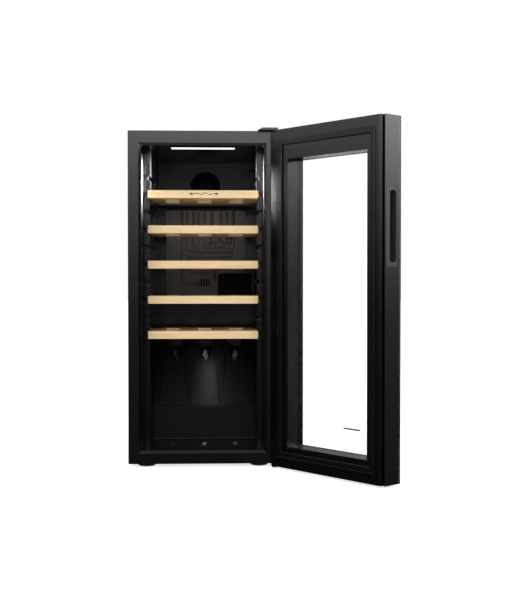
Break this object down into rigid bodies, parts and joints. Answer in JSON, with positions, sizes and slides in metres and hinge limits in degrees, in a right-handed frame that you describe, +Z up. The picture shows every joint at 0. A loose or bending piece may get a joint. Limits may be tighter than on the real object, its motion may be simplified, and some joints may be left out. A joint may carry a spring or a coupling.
{
  "type": "wine cooler",
  "caption": "Free-standing compressor wine cooler with a glazed hinged door, slatted beech shelves, a ceiling light bar and a circulation fan.",
  "frame": {"origin": "on the floor under the middle of the cabinet, at the floor_datum mount", "axes": "+Z up, -Y out of the cabinet's front, +X to the right as seen from the front; the door is stored open about 130 degrees"},
  "size_m": [0.6093, 0.7235, 0.8055],
  "materials": {
    "frame_plastic": "satin black moulded plastic",
    "shell_paint": "black powder coat, fine texture",
    "liner_plastic": "black vacuum-formed plastic, slightly glossy",
    "foam": "rigid polyurethane foam",
    "lamp_lens": "lit diffuser",
    "panel_plastic": "dark grey plastic",
    "fan_plastic": "black plastic",
    "evaporator_metal": "dark coated aluminium",
    "plain_steel": "zinc plated",
    "black_steel": "blackened screws",
    "foot_rubber": "matt",
    "pot_paint": "gloss black",
    "copper_tube": "copper",
    "door_plastic": "satin black moulded plastic",
    "gasket_rubber": "soft black magnetic seal",
    "window_glass": "clear tempered glass",
    "spacer_metal": "satin",
    "handle_plastic": "dark grey moulded plastic",
    "display_panel": "dark touch panel",
    "bush_plastic": "acetal",
    "beech": "lacquered beech"
  },
  "bodies": {
    "cabinet": {"front_frame": "frame_plastic", "left_side_panel": "shell_paint", "right_side_panel": "shell_paint", "top_panel": "shell_paint", "base_pan": "plain_steel", "back_panel": "shell_paint", "inner_liner": "liner_plastic", "insulation_foam": "foam", "left_shelf_guide": "liner_plastic", "right_shelf_guide": "liner_plastic", "led_housing": "liner_plastic", "led_lens": "lamp_lens", "fan_panel": "panel_plastic", "fan_frame": "fan_plastic", "fan_motor": "fan_plastic", "fan_screws": "black_steel", "evaporator_plate": "evaporator_metal", "capillary_clip": "panel_plastic", "sensor_cover": "fan_plastic", "bottle_rest": "liner_plastic", "floor_tray": "liner_plastic", "top_hinge_plate": "plain_steel", "top_hinge_cover": "frame_plastic", "bottom_hinge_plate": "plain_steel", "hinge_pins": "plain_steel", "hinge_screws": "plain_steel", "rear_feet": "foot_rubber", "compressor_grommets": "foot_rubber", "compressor": "pot_paint", "start_relay_box": "fan_plastic", "condenser_tube": "copper_tube", "condenser_wires": "plain_steel", "filter_drier": "copper_tube", "bay_cover": "shell_paint", "power_inlet": "fan_plastic", "cover_screws": "plain_steel"},
    "door": {"door_frame": "door_plastic", "door_inner_cover": "door_plastic", "door_gasket": "gasket_rubber", "outer_glass": "window_glass", "inner_glass": "window_glass", "glass_spacer": "spacer_metal", "handle_profile": "door_plastic", "handle_pocket": "handle_plastic", "hinge_bushes": "bush_plastic", "control_display": "display_panel"},
    "shelf_1": {"shelf_1_front_rail": "beech", "shelf_1_rack": "beech"},
    "shelf_2": {"shelf_2_front_rail": "beech", "shelf_2_rack": "beech"},
    "shelf_3": {"shelf_3_front_rail": "beech", "shelf_3_rack": "beech"},
    "shelf_4": {"shelf_4_front_rail": "beech", "shelf_4_rack": "beech"},
    "shelf_5": {"shelf_5_front_rail": "beech", "shelf_5_rack": "beech"},
    "fan": {"fan_rotor": "fan_plastic"},
    "front_left_leg": {"front_left_foot": "frame_plastic"},
    "front_right_leg": {"front_right_foot": "frame_plastic"}
  },
  "joints": [
    {"name": "door_hinge", "type": "hinge", "parent": "cabinet", "child": "door", "pos_m": [0.172, -0.2315, 0.4], "axis": [0, 0, 1], "range_deg": [-130, 0]},
    {"name": "shelf_1_slide", "type": "slide", "parent": "cabinet", "child": "shelf_1", "axis": [0, -1, 0], "range_m": [0, 0.1]},
    {"name": "shelf_2_slide", "type": "slide", "parent": "cabinet", "child": "shelf_2", "axis": [0, -1, 0], "range_m": [0, 0.1]},
    {"name": "shelf_3_slide", "type": "slide", "parent": "cabinet", "child": "shelf_3", "axis": [0, -1, 0], "range_m": [0, 0.1]},
    {"name": "shelf_4_slide", "type": "slide", "parent": "cabinet", "child": "shelf_4", "axis": [0, -1, 0], "range_m": [0, 0.1]},
    {"name": "shelf_5_slide", "type": "slide", "parent": "cabinet", "child": "shelf_5", "axis": [0, -1, 0], "range_m": [0, 0.1]},
    {"name": "fan_spin", "type": "hinge", "parent": "cabinet", "child": "fan", "pos_m": [0, 0.168, 0.6987], "axis": [0, 1, 0], "continuous": true},
    {"name": "front_left_foot_turn", "type": "hinge", "parent": "cabinet", "child": "front_left_leg", "pos_m": [-0.135, -0.185, 0], "axis": [0, 0, 1], "range_deg": [0, 1440]},
    {"name": "front_right_foot_turn", "type": "hinge", "parent": "cabinet", "child": "front_right_leg", "pos_m": [0.135, -0.185, 0], "axis": [0, 0, 1], "range_deg": [0, 1440]}
  ]
}
